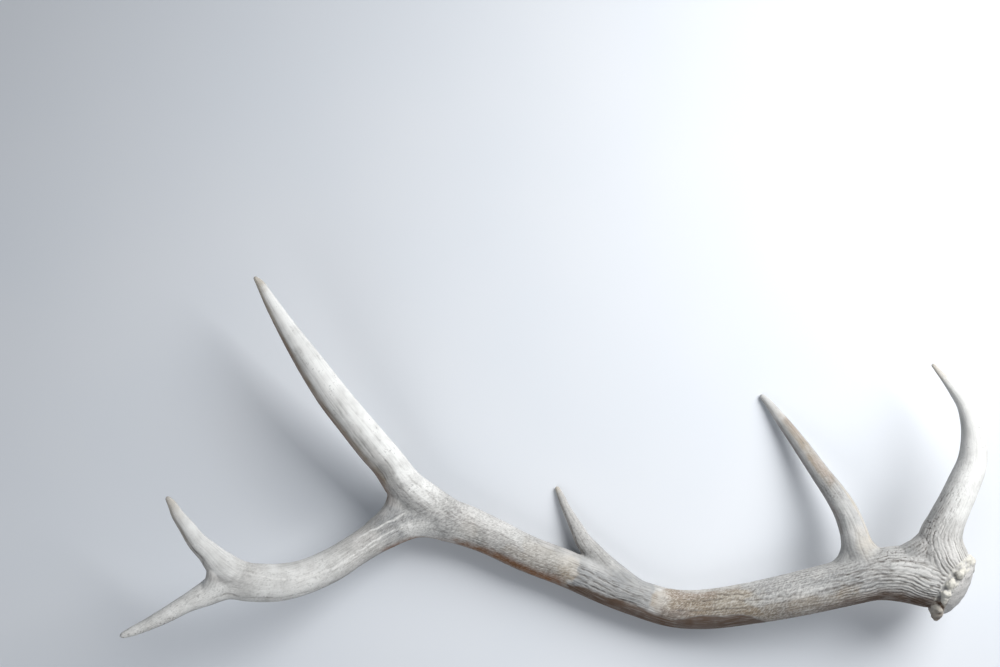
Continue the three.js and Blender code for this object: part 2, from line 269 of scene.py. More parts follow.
royalTine = {
    "line": [
        (-131, -86, 31, 26, 23), (-165.5, -63, 37, 26.5, 23), (-192, -37.5, 46, 23, 20.5),
        (-211.5, -9, 55, 21, 18.5), (-229, 12.5, 62, 21, 18.5), (-252.5, 43, 72, 20, 17.5),
        (-276, 74.5, 82, 19, 16.5), (-299.5, 110, 92, 16.5, 14.5), (-325, 150.5, 102, 12, 10.5),
        (-345, 185, 110, 8, 7), (-357, 207, 115, 5, 4.5), (-362.5, 214, 117, 2.5, 2.5),
    ],
    "ridges": [(0, 0.1), (60, 0.16), (110, 0.16), (230, 0.1), (300, 0.05), (392, 0.02)],
    "pebbles": [(0, 0.26), (70, 0.16), (150, 0.06), (392, 0.03)],
    "ridgeCount": 38, "sway": 1.5, "girth": 19, "lineLength": 60,
    "patches": [
        stain("slate", -10, 96, 92, 46, 0.3),
        stain("pale", 38, 430, 150, 55, 0.95, edge=66),
        stain("pale", 160, 392, 88, 38, 0.6, edge=60),
        stain("tan", 92, 390, 18, 36, 0.85),
        # painted shade with brown stain: umber along the tine's lower, left side
        stain("umber", 92, 375, -12, 37, 0.75),
        stain("tip", 330, 392, 24, 38, 0.5),
        stain("rust", 80, 380, 14, 25, 0.42),
        stain("tip", 378, 410, 90, 180, 0.6, edge=18),
        stain("even", 120, 420, 136, 46, 0.85, edge=60),
        stain("pit", -10, 90, 100, 80, 0.2),
    ],
    "creases": [
        crease(1.2, -0.4, [(75, 8), (94, 24), (111, 28), (135, 16), (160, 14)]),
        crease(1.2, -0.3, [(74, 28), (90, 48), (107, 54), (132, 54)]),
        crease(1.1, -0.3, [(68, 20), (81, 54), (103, 64), (125, 66), (152, 74), (214, 80)]),
        crease(1.1, -0.3, [(70, 86), (105, 92), (135, 94), (175, 96), (214, 96)]),
        crease(1.1, -0.28, [(14, 110), (52, 126), (90, 126), (125, 124), (162, 124), (202, 124)]),
    ],
}

surroyalTine = {
    "line": [
        (-361, -141.5, 119, 20.5, 17.5), (-381.5, -132, 133, 19.5, 17), (-397.5, -117, 145, 17, 15),
        (-409, -102, 154, 13, 11.5), (-420.5, -89, 160, 11, 9.5), (-431.5, -70.5, 167, 9, 7.5),
        (-440.5, -56, 172, 7, 6), (-446, -43.5, 176, 5, 4), (-450.5, -36.5, 178, 3, 2.5),
    ],
    "ridges": [(0, 0.15), (60, 0.2), (110, 0.1), (154, 0.03)],
    "pebbles": [(0, 0.2), (60, 0.08), (154, 0.04)],
    "ridgeCount": 24, "sway": 1.6, "girth": 15, "lineLength": 40,
    "patches": [
        stain("pale", 30, 160, 130, 65, 0.7),
        stain("tan", 90, 150, 40, 26, 0.4),
        # painted shade with brown stain: umber along the tine's lower, left side
        stain("umber", 60, 150, 0, 24, 0.5),
        stain("tip", 140, 170, 90, 180, 0.6),
    ],
    "creases": [
        crease(1.3, -0.5, [(56, 14), (66, 32), (76, 52), (96, 58)]),
    ],
}

branchNames = ("beam", "brow", "bez", "trez", "royal", "surroyal")
branchShapes = (beam, browTine, bezTine, trezTine, royalTine, surroyalTine)

# Bars of bone that round the narrow side of each fork, with grain that follows the bend.
forkBars = [
    {"line": [(407, -118, 83, 13, 18), (425, -106.5, 87, 13, 20), (437, -93.5, 90, 13, 19),
              (444, -80.5, 93, 13, 16)],
     "ridges": [(0, 0.3)], "ridgeCount": 18, "pits": 0.5},
    {"line": [(358.5, -98, 68, 11, 13), (363.5, -107.5, 72, 11, 15), (376.5, -118.5, 76, 11, 17),
              (398, -121, 78, 11, 17)],
     "ridges": [(0, 0.2)], "ridgeCount": 14, "pits": 0.2},
    {"line": [(348, -100, 66, 12, 13), (347, -112, 69, 12, 14), (342, -125, 70, 12, 15),
              (332, -136, 69, 12, 14), (321.5, -142, 68, 12, 12)],
     "ridges": [(0, 0.35)], "ridgeCount": 16, "pits": 0.1},
    {"line": [(-207.5, -23, 51, 13, 14), (-202.5, -35, 48, 13.5, 15), (-200, -47, 45, 13.5, 16),
              (-204, -64, 45, 13.5, 16), (-213.5, -77.5, 48, 13.5, 15), (-230.5, -92, 54, 13, 14)],
     "ridges": [(0, 0.35)], "ridgeCount": 9, "pits": 0.0},
    {"line": [(-408, -112, 151, 7, 8), (-405.5, -119.5, 149, 7.5, 10), (-405, -128, 148, 8, 11),
              (-408, -137, 148, 7.5, 9), (-414, -145.5, 149, 6, 7)],
     "ridges": [(0, 0.3)], "ridgeCount": 10, "pits": 0.0},
]

burr = {
    "centre": (465, -155, 83), "outwards": (0.77, -0.48, 0.41),
    "ringRadius": 38, "pearls": 20, "pearlSize": (6.2, 6.9, 7), "unevenSize": 0.25, "unevenPlace": 1.7,
    "sealRadius": 36, "sealHeight": 16,
    "knobs": 2, "knobSize": 0.5, "knobReach": 0.62,  # smaller knobs that make each pearl uneven
    "stretch": 0.3,  # how far a pearl may be drawn out or pressed flat
    "grains": 34, "grainSize": 2.6, "grainReach": 7,  # loose grains on the shaft side of the ring
    "reach": 50, "depth": 22, "plainPasses": 60,  # where a smoothed copy of the ring is made, and how smooth
    "seed": 14,
}

# Which branch and which stretch of it each solid stands for.
cutsAlong = {"beam": (168, 505, 763, 978), "brow": 76, "bez": 60, "trez": 108, "royal": 112, "surroyal": 74}
beamPieces = ("beam_base", "beam_lower", "beam_middle", "beam_upper", "beam_point")
tinePieces = {"brow": ("brow_tine", 0), "bez": ("bez_tine", 0), "trez": ("trez_tine", 1),
              "royal": ("royal_tine", 2), "surroyal": ("surroyal_tine", 3)}  # with the beam piece it is on


def catmullRom(rows, step):
    # a centripetal curve through the rows, sampled about every step; every column is carried along
    rows = np.asarray(rows, float)
    rows = np.vstack([2 * rows[0] - rows[1], rows, 2 * rows[-1] - rows[-2]])
    out, tiny = [], 1e-4
    for i in range(1, len(rows) - 2):
        four = rows[i - 1:i + 3]
        piece = []
        count = max(2, int(np.linalg.norm(four[2, :3] - four[1, :3]) / step))
        t = np.arange(count)[:, None] / count
        for columns in (slice(0, 3), slice(3, 5)):
            a, b, c, d = four[:, columns]
            gaps = [np.sum((q - p) ** 2) ** 0.25 for p, q in ((a, b), (b, c), (c, d))]
            middle = gaps[1] if gaps[1] > tiny else 1.0
            first, last = (gap if gap > tiny else middle for gap in gaps[::2])
            t1 = ((b - a) / first - (c - a) / (first + middle) + (c - b) / middle) * middle
            t2 = ((c - b) / middle - (d - b) / (middle + last) + (d - c) / last) * middle
            piece.append(b + t1 * t + (-3 * b + 3 * c - 2 * t1 - t2) * t ** 2
                         + (2 * b - 2 * c + t1 + t2) * t ** 3)
        out.append(np.hstack(piece))
    out.append(rows[-2][None])
    return np.vstack(out)


def layOut(rows, step):
    # centre line, half sizes and the three directions of a branch at many places along it
    samples = catmullRom(rows, step)
    centre = samples[:, :3] + settle
    along = np.gradient(centre, axis=0)
    along /= np.linalg.norm(along, axis=1)[:, None]
    level = np.cross((0.0, 0.0, 1.0), along)
    level /= np.linalg.norm(level, axis=1)[:, None]
    upright = np.cross(along, level)
    run = np.r_[0, np.cumsum(np.linalg.norm(np.diff(centre, axis=0), axis=1))]
    return dict(centre=centre, half=samples[:, 3:], along=along, level=level, upright=upright, run=run)


def tube(path, sides, roundedEnd=True):
    # rings round the path, closed at both ends with a fan
    turn = np.arange(sides) / sides * 2 * math.pi
    turn, half = turn[None, :, None], path["half"][:, None]
    rings = path["centre"][:, None] + (np.cos(turn) * path["level"][:, None] * half[..., :1]
                                       + np.sin(turn) * path["upright"][:, None] * half[..., 1:])
    end = path["centre"][-1]
    if roundedEnd:
        end = end + path["along"][-1] * path["half"][-1].min() * 1.1
    points = np.vstack([path["centre"][:1], rings.reshape(-1, 3), end[None]])
    faces = []
    last = 1 + (len(rings) - 1) * sides
    for i in range(sides):
        j = (i + 1) % sides
        faces.append((0, 1 + j, 1 + i))
        faces.append((last + i, last + j, len(points) - 1))
        for k in range(1, 1 + (len(rings) - 1) * sides, sides):
            faces.append((k + i, k + j, k + sides + j, k + sides + i))
    return points, faces


def lump(centre, sizes, axes, rows=14, columns=20):
    # a squashed ball whose three half sizes lie along the three axes
    points, faces = [], []
    for i in range(1, rows):
        down = math.pi * i / rows
        for j in range(columns):
            turn = 2 * math.pi * j / columns
            points.append((math.sin(down) * math.cos(turn), math.sin(down) * math.sin(turn), math.cos(down)))
    points += [(0, 0, 1), (0, 0, -1)]
    top, bottom = len(points) - 2, len(points) - 1
    for j in range(columns):
        k = (j + 1) % columns
        faces.append((top, j, k))
        faces.append((bottom, (rows - 2) * columns + k, (rows - 2) * columns + j))
        for i in range(rows - 2):
            a, b = i * columns, (i + 1) * columns
            faces.append((a + j, b + j, b + k, a + k))
    return np.array(points) * sizes @ np.array(axes) + centre, faces


def burrAxes():
    # the turn that carries +Z onto the outward direction by the shortest way
    out = np.array(burr["outwards"])
    out = out / np.linalg.norm(out)
    x, y, z = np.cross((0, 0, 1), out)
    skew = np.array(((0, -z, y), (z, 0, -x), (-y, x, 0)))
    turn = np.eye(3) + skew + skew @ skew / (1 + out[2])
    return turn.T  # rows are the turned x, y and z axes


def burrLumps():
    axes = burrAxes()
    centre = np.array(burr["centre"]) + settle
    radius = burr["sealRadius"]
    lumps = [lump(centre, (radius, radius, burr["sealHeight"]), axes, 30, 60)]
    draw = np.random.default_rng(burr["seed"])
    for i in range(burr["pearls"]):
        angle = (i + 0.25 * math.sin(2.4 * i)) / burr["pearls"] * 2 * math.pi
        share = 1 + burr["unevenSize"] * math.sin(1.7 * i)
        reach = burr["ringRadius"] + burr["unevenPlace"] * math.sin(3.1 * i)
        place = (math.cos(angle) * reach, math.sin(angle) * reach, burr["unevenPlace"] * math.sin(2.1 * i))
        drawn = 1 + burr["stretch"] * draw.uniform(-1, 0.7, 3)
        pearl = np.array(burr["pearlSize"]) * share
        lumps.append(lump(place @ axes + centre, pearl * drawn, axes))
        for _ in range(burr["knobs"]):
            size = pearl * burr["knobSize"] * draw.uniform(0.6, 1.25)
            side = draw.normal(size=3) * (1, 1, 0.7)
            side = side / np.linalg.norm(side) * burr["knobReach"] * pearl
            lumps.append(lump((place + side) @ axes + centre, size, axes))
    for i in range(burr["grains"]):
        angle = draw.uniform(0, 2 * math.pi)
        back = draw.uniform(0.5, 1) * burr["grainReach"]
        size = burr["grainSize"] * draw.uniform(0.7, 1.3)
        reach = burr["ringRadius"] - 1 - 0.3 * back
        place = (math.cos(angle) * reach, math.sin(angle) * reach, -back)
        lumps.append(lump(place @ axes + centre, (size, size, size * 1.5), axes, 8, 12))
    return lumps


def voxelSkin(shapes, voxel):
    # one closed mesh of small squares round all the shapes
    rough, base, faces = bpy.data.meshes.new("rough"), 0, []
    for shapePoints, shapeFaces in shapes:
        faces += [tuple(base + i for i in face) for face in shapeFaces]
        base += len(shapePoints)
    rough.from_pydata((np.vstack([shape[0] for shape in shapes]) * mm).tolist(), [], faces)
    holder = addObject("rough", rough)
    remesh = holder.modifiers.new("skin", "REMESH")
    remesh.mode = "VOXEL"
    remesh.voxel_size = voxel * mm
    made = holder.evaluated_get(bpy.context.evaluated_depsgraph_get())
    skin = bpy.data.meshes.new_from_object(made)
    bpy.data.objects.remove(holder)
    bpy.data.meshes.remove(rough)
    return skin


def readAll(items, field, width, kind=float):
    values = np.empty(len(items) * width, kind)
    items.foreach_get(field, values)
    return values.reshape(-1, width)


def smooth(values, edges, weight, passes):
    # every point moves towards the middle of its neighbours, by its own weight
    count = len(values)
    degree = np.bincount(edges.ravel(), minlength=count).astype(float)
    for _ in range(passes):
        mean = np.empty_like(values)
        for axis in range(values.shape[1]):
            column = values[:, axis]
            mean[:, axis] = (np.bincount(edges[:, 0], column[edges[:, 1]], count)
                             + np.bincount(edges[:, 1], column[edges[:, 0]], count)) / degree
        values = values + (mean - values) * weight[:, None]
    return values


def pointNormals(points, quads):
    a, b, c, d = (points[quads[:, i]] for i in range(4))
    facing = np.cross(c - a, d - b)
    total = np.zeros_like(points)
    for i in range(4):
        for axis in range(3):
            total[:, axis] += np.bincount(quads[:, i], facing[:, axis], len(points))
    return total / np.maximum(np.linalg.norm(total, axis=1), 1e-9)[:, None]


def measureFrom(path, points):
    # distance along the branch, angle round it and height over its plain surface, for every point
    none = np.zeros(len(points))
    result = {"run": none.copy(), "angle": none.copy(), "gap": none + farOff}
    margin = path["half"].max() + build["nearby"]
    low, high = path["centre"].min(0) - margin, path["centre"].max(0) + margin
    close = np.flatnonzero(((points > low) & (points < high)).all(1))
    centre = path["centre"].astype(np.float32)
    squares = (centre ** 2).sum(1)
    for start in range(0, len(close), build["chunk"]):
        chosen = close[start:start + build["chunk"]]
        here = points[chosen]
        nearest = np.argmin(squares[None] - 2 * here.astype(np.float32) @ centre.T, axis=1)
        run = path["run"][nearest] + ((here - path["centre"][nearest]) * path["along"][nearest]).sum(1)
        inside = np.clip(run, 0, path["run"][-1])
        place = {name: np.column_stack([np.interp(inside, path["run"], column) for column in path[name].T])
                 for name in ("centre", "level", "upright", "half")}
        offset = here - place["centre"]
        across = (offset * place["level"]).sum(1) / place["half"][:, 0]
        over = (offset * place["upright"]).sum(1) / place["half"][:, 1]
        result["run"][chosen] = run
        turn = np.arctan2(over, across)
        result["angle"][chosen] = np.where(turn < -math.pi / 2, turn + 2 * math.pi, turn)
        result["gap"][chosen] = ((np.hypot(across, over) - 1) * np.sqrt(place["half"].prod(1))
                                 + np.abs(run - inside))
    return result


gradients = np.array([(x, y, z) for x in (-1, 0, 1) for y in (-1, 0, 1) for z in (-1, 0, 1)
                      if abs(x) + abs(y) + abs(z) == 2] + [(1, 1, 0), (-1, 1, 0), (0, -1, 1), (0, -1, -1)],
                     float)


def noise(places, seed):
    # smooth noise in about -1 to 1 with lumps of size 1
    cell = np.floor(places).astype(np.int64)
    inner = places - cell
    ease = inner ** 3 * (inner * (inner * 6 - 15) + 10)
    total = np.zeros(len(places))
    for dx in (0, 1):
        for dy in (0, 1):
            for dz in (0, 1):
                mix = ((cell[:, 0] + dx) * 374761393 + (cell[:, 1] + dy) * 668265263
                       + (cell[:, 2] + dz) * 1440662683 + seed * 982451653) & 0xFFFFFFFF
                mix = ((mix ^ (mix >> 13)) * 1274126177) & 0xFFFFFFFF
                mix ^= mix >> 16
                slope = gradients[mix & 15]
                share = ((ease[:, 0] if dx else 1 - ease[:, 0]) * (ease[:, 1] if dy else 1 - ease[:, 1])
                         * (ease[:, 2] if dz else 1 - ease[:, 2]))
                total += share * (slope * (inner - (dx, dy, dz))).sum(1)
    return total * 1.4


def ramp(value, low, high):
    t = np.clip((value - low) / (high - low), 0, 1)
    return t * t * (3 - 2 * t)


def profile(run, table):
    # the value of a table of (run, value) at every run
    return np.interp(run, *zip(*table))


def grainOf(shape, place, seed):
    # long wavy ridges that run the branch's way: how deep in a groove, how far up a crest, and fine streaks
    run, angle = place["run"], place["angle"]
    ring = np.column_stack([np.cos(angle), np.sin(angle)])

    def around(scale, length, extra):
        return noise(np.column_stack([ring * scale, run / length]), seed + extra)

    lineLength = shape.get("lineLength", 14)
    wiggle = (1.3 * around(5.5, 9, 1) + 0.5 * around(10, 5, 7)) * min(1, 18 / lineLength)
    sway = shape["sway"] * around(2.6, 38, 0) + wiggle
    wave = np.sin(angle * shape["ridgeCount"] + sway * 1.4)
    strength = np.clip(0.55 + 1.05 * around(6, lineLength, 2), 0.08, 1)
    thin = ramp(-np.sin(angle * 2 * shape["ridgeCount"] + 2.5 * around(4, 20, 3)), 0.6, 1)
    thinner = 0.3 * thin * np.clip(0.5 + around(5, 0.7 * lineLength, 6), 0, 1)
    groove = ramp(-wave, 0.4, 1) * strength + thinner
    streak = around(shape["girth"] / 1.3, 26, 4) + 0.6 * around(shape["girth"] / 2.8, 48, 5)
    slit = ramp(around(shape["girth"] / 1.3, 7, 8), 0.36, 0.65)  # short slots that run with the ridges
    return {"groove": np.clip(groove, 0, 1), "crest": ramp(wave, -0.6, 0.5), "streak": streak, "slit": slit}


def dashesOf(shape, place, seed):
    # short slanting wrinkles, like a coarse weave
    u = place["angle"] * shape["girth"]
    v = place["run"]
    slanted = np.column_stack([(u * 0.8 + v * 0.6) / 1.8, (v * 0.8 - u * 0.6) / 4.6, np.zeros(len(u))])
    return noise(slanted, seed)


def creasesOf(shape, place, waver, broken):
    # thin lines drawn along a branch, in mm over or under its surface
    fade = 6  # mm, over which a line starts or ends
    total, run = np.zeros(len(waver)), place["run"]
    for drawn in shape.get("creases", ()):
        runs, angles = zip(*drawn["corners"])
        aside = place["angle"] - np.radians(np.interp(run, runs, angles))
        line = np.exp(-((aside * shape["girth"] + waver) / drawn["width"]) ** 2)
        ends = (ramp(run, runs[0] - fade, runs[0] + fade)
                * (1 - ramp(run, runs[-1] - fade, runs[-1] + fade)))
        total += drawn["rise"] * line * ends * broken
    return total


def outlineMask(patch, place, girth, ragged):
    # how far inside the corners of an area each point lies, as a soft mask
    corners = np.array(patch["corners"], float) * (1, math.radians(girth))
    across, up = place["run"], place["angle"] * girth
    away, inside = np.full(len(up), 1e9), np.zeros(len(up), bool)
    for (x1, y1), (x2, y2) in zip(corners, np.roll(corners, -1, axis=0)):
        share = ((across - x1) * (x2 - x1) + (up - y1) * (y2 - y1)) / ((x2 - x1) ** 2 + (y2 - y1) ** 2)
        share = np.clip(share, 0, 1)
        away = np.minimum(away, np.hypot(across - x1 - share * (x2 - x1), up - y1 - share * (y2 - y1)))
        if y1 != y2:
            crossed = ((y1 > up) != (y2 > up)) & (across < (x2 - x1) * (up - y1) / (y2 - y1) + x1)
            inside ^= crossed
    depth = np.where(inside, away, -away) + ragged * patch["wobble"]
    return ramp(depth, -patch["edge"] / 2, patch["edge"] / 2)


def patchMask(patch, place, girth, ragged, mottled):
    # a patch of the branch with a ragged edge, a little uneven in strength
    if "corners" in patch:
        drawn = outlineMask(patch, place, girth, ragged)
        return drawn * np.clip(patch["amount"] * (0.98 + 0.07 * mottled), 0, 1)
    edge, spread = patch["edge"] / 2, patch["spread"]
    turn = np.degrees(place["angle"]) - patch["angle"]
    turn = np.abs((turn + 180) % 360 - 180)
    bow = patch["bow"] * (turn / 90) ** 2
    run = place["run"] + ragged * patch["wobble"]
    start, end = patch["start"] + bow, patch["end"] - bow
    lengthwise = ramp(run, start - edge, start + edge) * (1 - ramp(run, end - edge, end + edge))
    soft = min(14, spread * 0.45)
    around = 1.0
    if spread < 180:
        around = 1 - ramp(turn + ragged * patch["wobble"] * 0.8, spread - soft, spread + soft)
    return lengthwise * around * np.clip(patch["amount"] * (0.94 + 0.34 * mottled), 0, 1)


def gapsTo(places):
    return np.stack([place["gap"] for place in places])


def sharesOf(gaps):
    # how far each point belongs to each branch; the nearest counts most
    shares = np.exp(-(gaps - gaps.min(0)) / build["blend"])
    return shares / shares.sum(0)


# one closed skin over everything, then it is carved and painted
paths = [layOut(shape["line"], build["tubeStep"]) for shape in branchShapes]
barPaths = [layOut(bar["line"], build["tubeStep"]) for bar in forkBars]
shapes = [tube(path, build["tubeSides"]) for path in paths]
shapes += [tube(path, build["barSides"], roundedEnd=False) for path in barPaths]
shapes += burrLumps()
skin = voxelSkin(shapes, build["voxel"])
points = readAll(skin.vertices, "co", 3) / mm
edges = readAll(skin.edges, "vertices", 2, np.int64)
quads = readAll(skin.loops, "vertex_index", 1, np.int64).reshape(-1, 4)
bpy.data.meshes.remove(skin)
print("skin:", len(points), "points", spent(), "s")

places = [measureFrom(path, points) for path in paths]
second = np.sort(gapsTo(places), axis=0)[1]
inFork = 1 - ramp(second, build["forkReach"] * 0.4, build["forkReach"])
axes = burrAxes()
fromBurr = (points - (np.array(burr["centre"]) + settle)) @ axes.T
ringReach = np.hypot(fromBurr[:, 0], fromBurr[:, 1])
onPearls = 1 - ramp(np.hypot(ringReach - burr["ringRadius"] - 1, fromBurr[:, 2]), 7.5, 9.5)
onSeal = (ringReach < burr["reach"]) * ramp(fromBurr[:, 2], -1, 3) * (1 - onPearls)
points = smooth(points, edges, 0.5 - 0.1 * onPearls, build["softPasses"])
forkWeight = 0.6 * (inFork * (1 - onPearls) * (1 - ramp(fromBurr[:, 2], -22, -10)) + onSeal)
points = smooth(points, edges, forkWeight, build["forkPasses"])
normals = pointNormals(points, quads)
print("smoothed", spent(), "s")

places = [measureFrom(path, points) for path in paths]
nearest = gapsTo(places).argmin(0)
shares = sharesOf(gapsTo(places))

# the grain belongs to whichever branch or fork bar is nearest, and changes over softly
grainShapes = list(branchShapes) + [dict(bar, sway=1.2, girth=13, pebbles=[(0, 0.1)]) for bar in forkBars]
grainPlaces = [measureFrom(layOut(shape["grainLine"], build["tubeStep"]), points) if "grainLine" in shape
               else place for shape, place in zip(branchShapes, places)]
grainPlaces += [measureFrom(path, points) for path in barPaths]
grainShares = sharesOf(gapsTo(grainPlaces))
ragged = noise(points / 17, 41) * 0.8 + noise(points / 6, 42) * 0.45
mottled = noise(points / 16, 43) + 0.5 * noise(points / 7, 44)

surface = {name: np.zeros(len(points))
           for name in ("groove", "crest", "streak", "slit", "ridges", "pebbles", "dashes", "crease")}
toneNames = ("tan", "rust", "slate", "pale", "umber", "tip")
zoneNames = toneNames + ("pit", "slit", "even")  # the last three shape the surface and give no tone
waver, broken = noise(points / 9, 45) * 1.4, np.clip(0.75 + 0.8 * noise(points / 7, 46), 0, 1)
zones = {name: np.zeros(len(points)) for name in zoneNames}
for index, (shape, place) in enumerate(zip(grainShapes, grainPlaces)):
    near = grainShares[index] > build["leastShare"]
    here = {key: value[near] for key, value in place.items()}
    share = grainShares[index][near]
    parts = grainOf(shape, here, 100 * index)
    parts["dashes"] = dashesOf(shape, here, 100 * index + 50)
    for name in ("ridges", "pebbles"):
        parts[name] = profile(here["run"], shape[name])
    for name, value in parts.items():
        surface[name][near] += value * share
    zones["pit"][near] = np.maximum(zones["pit"][near], shape.get("pits", 0) * share)
print("grain laid", spent(), "s")

for shape, place, share in zip(branchShapes, places, shares):
    near = share > build["leastShare"]
    here = {key: value[near] for key, value in place.items()}
    surface["crease"][near] += creasesOf(shape, here, waver[near], broken[near]) * share[near]
    for patch in shape["patches"]:
        mask = patchMask(patch, here, shape["girth"], ragged[near], mottled[near]) * share[near]
        zone = zones[patch["zone"]]
        if patch["zone"] not in toneNames:
            zone[near] = np.maximum(zone[near], mask)
            continue
        for name in toneNames:
            zones[name][near] *= 1 - mask
        zone[near] += mask
print("patches laid", spent(), "s")

carving = {"crest": 0.45, "groove": 0.75, "streak": 0.05, "pit": 0.55, "sealPits": 0.45}  # mm, at the most
calm = (1 - onPearls) * (1 - onSeal)
pebble = noise(points / 3.2, 7) * 0.7 + noise(points / 1.7, 14) * 0.3
surface["dashes"] = surface["dashes"] * 0.8 + pebble * 0.4
surface["ridges"] *= 1 - zones["even"]
surface["pebbles"] *= 1 - 0.7 * zones["even"]
mixing = (1 - ramp(grainShares.max(0), 0.55, 0.97)) * calm  # where two grains meet the bone is wrinkled
ridged = carving["crest"] * surface["crest"] - carving["groove"] * surface["groove"]
relief = surface["ridges"] * ridged * calm
relief += surface["pebbles"] * surface["dashes"] * calm
relief += carving["streak"] * surface["streak"] * calm
relief += surface["crease"] * calm
wrinkles = 0.5 * noise(points / 2.6, 15) + 0.4 * noise(points / 5, 16)
relief += mixing * np.minimum(surface["ridges"], 0.8) * wrinkles
pits = ramp(noise(points / 2.3, 9), 0.3, 0.6) * zones["pit"]
pits = np.maximum(pits, surface["slit"] * zones["slit"]) * calm
pits = np.maximum(pits, ramp(noise(points / 1.9, 17), 0.3, 0.65) * onSeal * carving["sealPits"])
relief -= pits * carving["pit"]
relief += onPearls * (noise(points / 5.5, 10) * 1.1 + noise(points / 2.4, 12) * 0.45)
relief += onSeal * (noise(points / 8, 13) * 0.6 + pebble * 0.28)
points = points + normals * relief[:, None]
points[:, 2] = np.maximum(points[:, 2], 0.05)
normals = pointNormals(points, quads)
evenPoints = smooth(points, edges, np.full(len(points), 0.5), build["hollowPasses"])
hollow = ((evenPoints - points) * normals).sum(1)  # mm, how far a point lies below its surroundings

# the burr's pearls stand out from a much smoother copy of the ring
near = np.flatnonzero((ringReach < burr["reach"]) & (np.abs(fromBurr[:, 2]) < burr["depth"]))
renumber = np.full(len(points), -1)
renumber[near] = np.arange(len(near))
nearEdges = renumber[edges]
nearEdges = nearEdges[(nearEdges >= 0).all(1)]
plainRing = smooth(points[near], nearEdges, np.full(len(near), 0.5), burr["plainPasses"])
pearlRise = np.zeros(len(points))
pearlRise[near] = ((points[near] - plainRing) * normals[near]).sum(1)
print("carved", spent(), "s")


def capLoops(faces):
    # the open rims of a piece, as rings of point numbers in the order its faces run
    sides = np.vstack([faces[:, (i, (i + 1) % 4)] for i in range(4)])
    known = dict.fromkeys(map(tuple, sides.tolist()))
    follow = {}
    for a, b in known:
        if (b, a) not in known:
            follow.setdefault(a, []).append(b)
    rings = []
    while follow:
        start = here = next(iter(follow))
        ring = []
        while not ring or here != start:
            ring.append(here)
            after = follow[here].pop()
            if not follow[here]:
                del follow[here]
            here = after
        rings.append(ring)
    return rings


def makePiece(name, chosen):
    # its own faces and a flat cap on each open rim; the bone keeps the whole skin's normals
    faces = quads[chosen]
    used, local = np.unique(faces, return_inverse=True)
    middles, caps = [], []
    for rim in capLoops(faces):
        ids = np.searchsorted(used, rim).tolist()
        hub = len(used) + len(middles)
        middles.append(points[used[ids]].mean(0))
        caps += [(after, here, hub) for here, after in zip(ids, ids[1:] + ids[:1])]
    mesh = bpy.data.meshes.new(name + "_skin")
    mesh.from_pydata((np.vstack([points[used], middles]) * mm).tolist(), [],
                     local.reshape(faces.shape).tolist() + caps)
    mesh.polygons.foreach_set("use_smooth", np.ones(len(mesh.polygons), bool))
    capNormals = np.repeat(readAll(mesh.polygons, "normal", 3)[len(faces):], 3, axis=0)
    mesh.normals_split_custom_set(np.vstack([normals[faces.ravel()], capNormals]).tolist())
    paint(mesh, used, len(middles))
    return addObject(name + "_bone", mesh)


def paint(mesh, used, extra):
    # the masks that the materials read, four to a layer, and nought at the middles of the caps
    layers = {layer: np.clip(np.column_stack([masks[name][used] for name in names]), 0, 1)
              for layer, names in paintLayers.items()}
    for layer, data in layers.items():
        attribute = mesh.attributes.new(layer, "FLOAT_COLOR", "POINT")
        attribute.data.foreach_set("color", np.r_[data.ravel(), np.zeros(4 * extra)].astype(np.float32))
    attribute = mesh.attributes.new("grainAt", "FLOAT_VECTOR", "POINT")
    data = np.r_[grainAt[used].ravel() * mm, np.zeros(3 * extra)]
    attribute.data.foreach_set("vector", data.astype(np.float32))


ridgeTone = np.clip(surface["ridges"] / 1.1, 0, 1) ** 0.8
owning = grainShares.argmax(0)
grainAt = np.zeros_like(points)
for index, (shape, place) in enumerate(zip(grainShapes, grainPlaces)):
    mine = owning == index
    girth, angle = shape["girth"], place["angle"][mine]
    grainAt[mine] = np.column_stack([np.cos(angle) * girth, np.sin(angle) * girth, place["run"][mine]])
sunk, risen = np.clip(-surface["crease"] / 0.55, 0, 1), np.clip(surface["crease"] / 0.4, 0, 1)
shadedLowerPearls = ramp(-points[:, 1], 150, 192)  # painted shade: the burr's lower pearls, towards -y, get less of the pale pearl tone and so come out darker
masks = dict(
    zones, pearl=onPearls * ramp(pearlRise, -0.9, 0.7) * (1 - 0.6 * shadedLowerPearls), seal=onSeal, pit=pits,
    groove=np.maximum(surface["groove"] * ridgeTone, sunk) * calm,
    # painted highlight: the crest mask, and the hill mask below it, make crests and high places paler
    crest=np.maximum(surface["crest"] * ridgeTone, risen) * calm,
    weave=ramp(surface["pebbles"], 0.03, 0.3) * calm,
    streak=np.clip(0.5 + surface["streak"] * 0.6 * calm, 0, 1),
    # painted shade: the hollow mask darkens low places and the gaps between the pearls
    hollow=np.maximum(ramp(hollow, 0.06, 0.75), onPearls * ramp(-pearlRise, 0.2, 1.8)),
    hill=ramp(-hollow, 0.06, 0.6),
    hold=ramp(grainShares.max(0), 0.6, 0.95) * calm,
)
masks["pale"] = np.maximum(masks["pale"], 0.75 * risen)
paintLayers = {
    "zonesA": ("tan", "rust", "slate", "pale"),
    "zonesB": ("umber", "tip", "pearl", "seal"),
    "reliefMap": ("groove", "crest", "pit", "weave"),
    "wearAndLightMap": ("streak", "hollow", "hill", "hold"),
}

